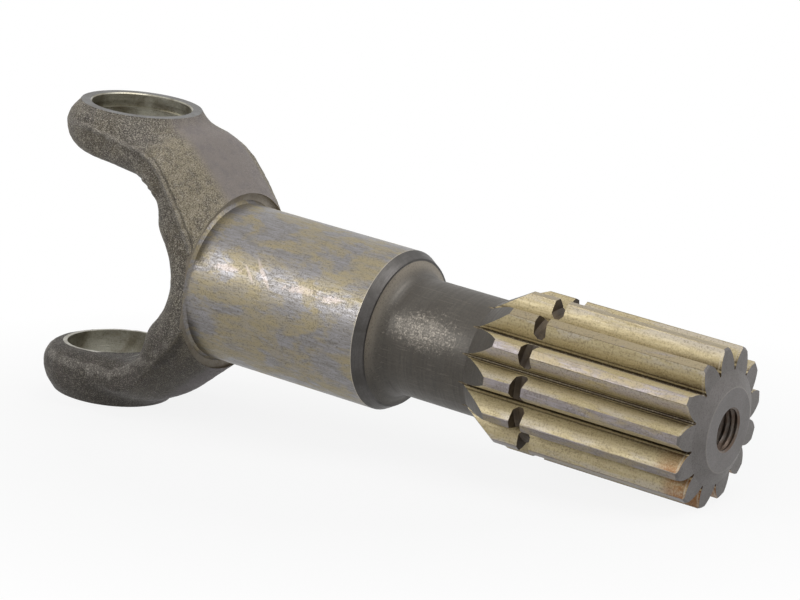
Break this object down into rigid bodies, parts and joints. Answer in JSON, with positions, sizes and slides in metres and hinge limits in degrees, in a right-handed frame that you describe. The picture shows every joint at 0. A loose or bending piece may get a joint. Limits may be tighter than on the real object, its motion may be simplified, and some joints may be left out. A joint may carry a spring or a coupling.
{
  "type": "wheel fork",
  "caption": "Forged steering-axle wheel fork: a driving yoke whose ears hold cross bores, with a ground journal, a waisted neck and an involute toothed end.",
  "frame": {"origin": "middle of the universal joint: where the axis of the cross bores meets the shaft axis", "axes": "+X runs along the shaft from the fork to the toothed end, +Z along the cross bores, and the part is alike on its +Y and -Y sides and on its +Z and -Z sides, its teeth apart"},
  "size_m": [0.2673, 0.057, 0.104],
  "materials": {
    "forged_steel": "forged scale on the fork, turned and ground on the shaft, with a worn gold preserving varnish on the teeth"
  },
  "bodies": {
    "root": {"wheel_fork": "forged_steel"}
  },
  "joints": []
}
